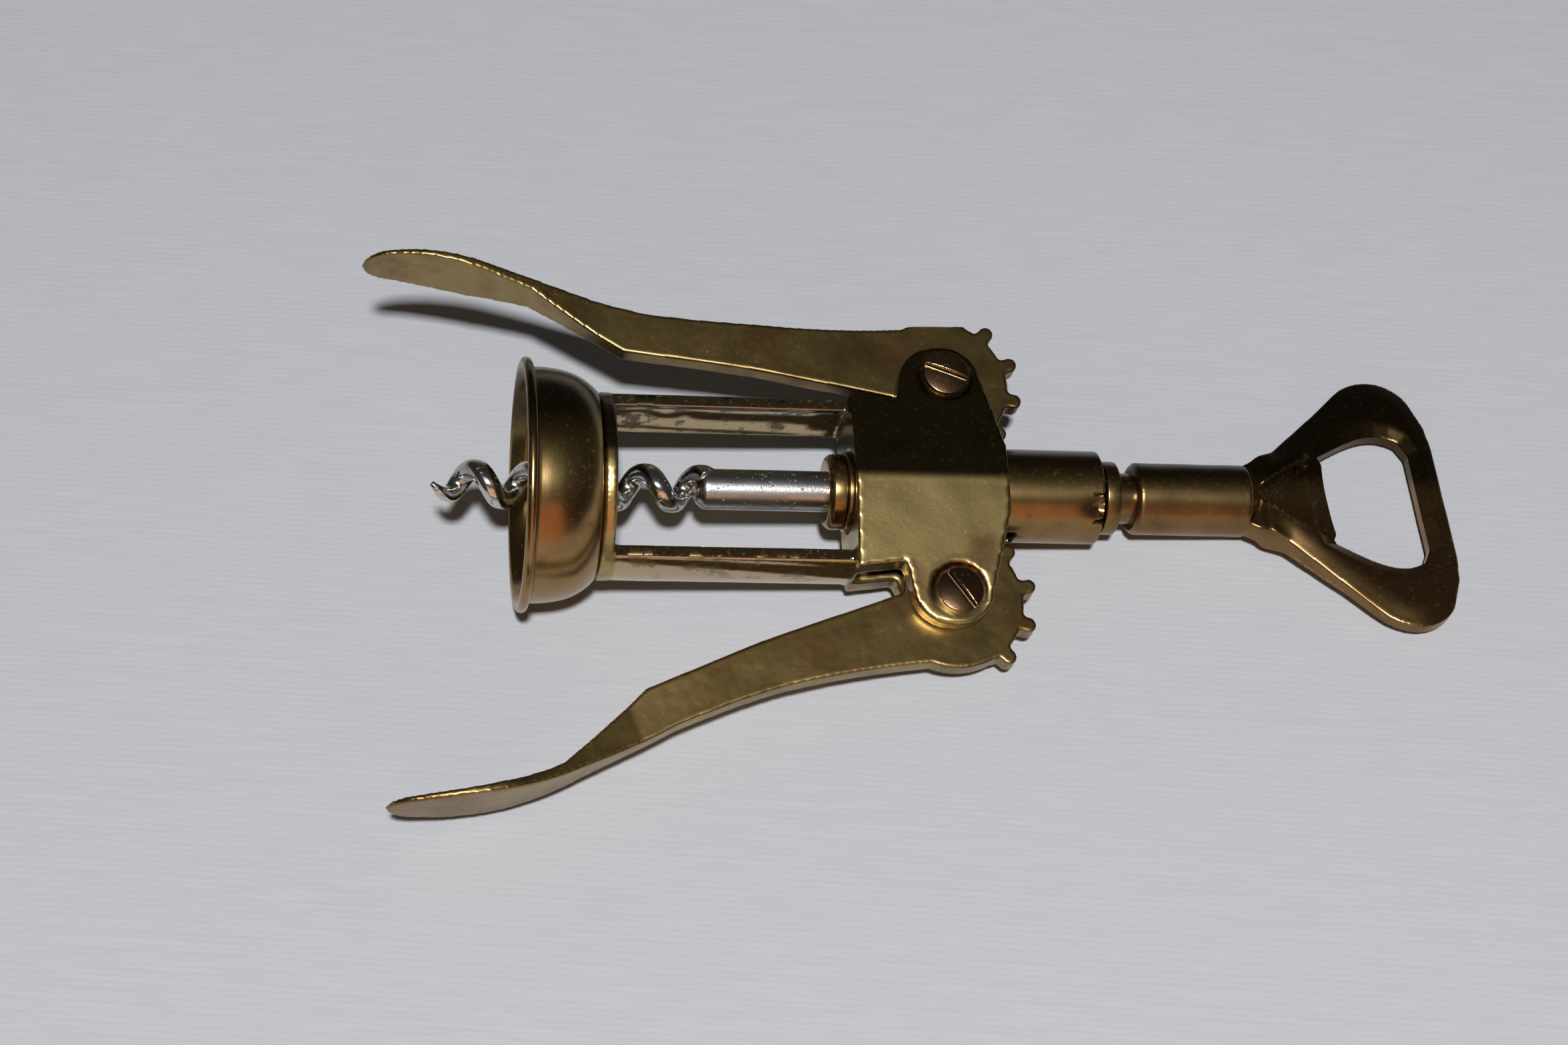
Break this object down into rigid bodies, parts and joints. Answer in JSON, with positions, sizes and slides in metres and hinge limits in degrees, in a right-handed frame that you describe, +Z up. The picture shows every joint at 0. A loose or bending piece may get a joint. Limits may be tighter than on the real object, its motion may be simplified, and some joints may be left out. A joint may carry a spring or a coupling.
{
  "type": "wing corkscrew",
  "caption": "Cast brass wing corkscrew with a steel worm, toothed wings on a ringed rack, a bell for the bottle neck and a loop handle that lifts crown caps.",
  "frame": {"origin": "bottom centre of the bounding box, on the table it lies on", "axes": "+X along the corkscrew from the worm to the handle, +Z up, square to the table"},
  "size_m": [0.1828, 0.095, 0.0417],
  "materials": {
    "brass": "worn, with brown tarnish",
    "brass_turned": "turned, with brown tarnish",
    "screw_brass": "dark bronze tarnish",
    "steel": "worn plating"
  },
  "bodies": {
    "frame": {"frame_casting": "brass", "bell": "brass_turned", "guide_sleeve": "brass_turned", "pivot_screw_upper": "screw_brass", "pivot_screw_lower": "screw_brass"},
    "rack_carrier": {"stop_washer": "brass_turned"},
    "spindle": {"rack_shaft": "brass_turned", "end_collar": "brass_turned", "worm": "steel", "handle": "brass"},
    "upper_wing": {"wing_upper": "brass"},
    "lower_wing": {"wing_lower": "brass"}
  },
  "joints": [
    {"name": "rack_slide", "type": "slide", "parent": "frame", "child": "rack_carrier", "axis": [-0.9929, 0, 0.1191], "range_m": [0, 0.0214]},
    {"name": "handle_turn", "type": "hinge", "parent": "rack_carrier", "child": "spindle", "pos_m": [0.00417, 0.00722, 0.01244], "axis": [0.9929, 0, -0.1191], "continuous": true},
    {"name": "upper_wing_swing", "type": "hinge", "parent": "frame", "child": "upper_wing", "pos_m": [0.00466, 0.02617, 0.01661], "axis": [-0.1163, 0.2164, -0.9693], "range_deg": [0, 90.18]},
    {"name": "lower_wing_swing", "type": "hinge", "parent": "frame", "child": "lower_wing", "pos_m": [0.00366, -0.01172, 0.00827], "axis": [0.1163, -0.2164, 0.9693], "range_deg": [0, 90.18]}
  ],
  "couplings": [
    {"joint": "upper_wing_swing", "follows": "rack_slide", "rad_per_m": 73.529},
    {"joint": "lower_wing_swing", "follows": "rack_slide", "rad_per_m": 73.529}
  ]
}
